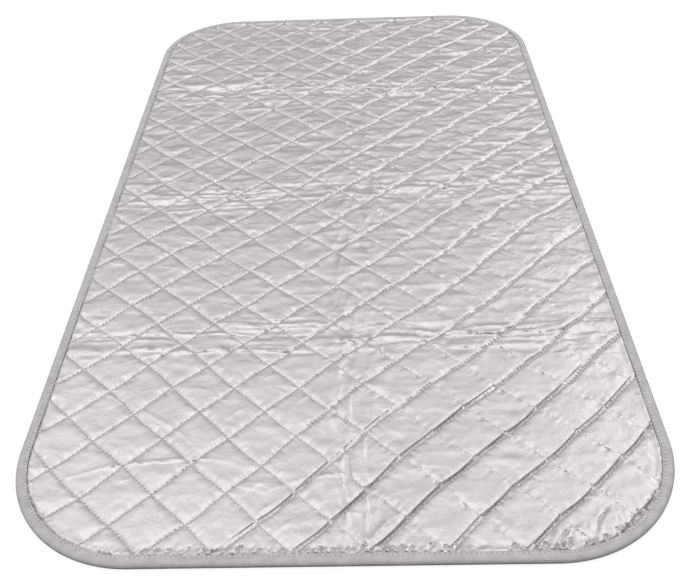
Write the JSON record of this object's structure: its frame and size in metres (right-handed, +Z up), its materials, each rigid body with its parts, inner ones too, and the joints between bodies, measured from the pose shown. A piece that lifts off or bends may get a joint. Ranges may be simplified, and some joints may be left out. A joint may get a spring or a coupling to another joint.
{
  "type": "ironing pad",
  "caption": "Flat quilted ironing pad with rounded corners: heat-reflective silver cover over batting and backing cloth, edge bound with tape, folding into quarters along crosswise creases.",
  "frame": {"origin": "Centre of the underside of the pad laid flat", "axes": "+X across the pad to the right as seen from the front edge, +Y along the pad towards the rear edge, +Z up, out of the ironing face"},
  "size_m": [0.464, 0.826, 0.006],
  "materials": {
    "top_cover": "metallised silver cotton, satin, finely crinkled",
    "batting": "white needled batting",
    "backing": "matte light grey woven cloth",
    "binding_tape": "matte silver-grey woven tape"
  },
  "bodies": {
    "rear_quarter": {"top_cover_rear": "top_cover", "batting_rear": "batting", "backing_rear": "backing", "binding_rear": "binding_tape"},
    "rear_middle_quarter": {"top_cover_rear_middle": "top_cover", "batting_rear_middle": "batting", "backing_rear_middle": "backing", "binding_right_rear_middle": "binding_tape", "binding_left_rear_middle": "binding_tape"},
    "front_middle_quarter": {"top_cover_front_middle": "top_cover", "batting_front_middle": "batting", "backing_front_middle": "backing", "binding_right_front_middle": "binding_tape", "binding_left_front_middle": "binding_tape"},
    "front_quarter": {"top_cover_front": "top_cover", "batting_front": "batting", "backing_front": "backing", "binding_front": "binding_tape"}
  },
  "joints": [
    {"name": "rear_fold", "type": "hinge", "parent": "rear_quarter", "child": "rear_middle_quarter", "pos_m": [0, 0.2065, 0.0063], "axis": [-1, 0, 0], "range_deg": [0, 180]},
    {"name": "middle_fold", "type": "hinge", "parent": "rear_middle_quarter", "child": "front_middle_quarter", "pos_m": [0, 0, -0.0003], "axis": [1, 0, 0], "range_deg": [0, 180]},
    {"name": "front_fold", "type": "hinge", "parent": "front_middle_quarter", "child": "front_quarter", "pos_m": [0, -0.2065, 0.0063], "axis": [-1, 0, 0], "range_deg": [0, 180]}
  ],
  "couplings": [
    {"joint": "middle_fold", "follows": "rear_fold", "ratio": 1},
    {"joint": "front_fold", "follows": "rear_fold", "ratio": 1}
  ]
}
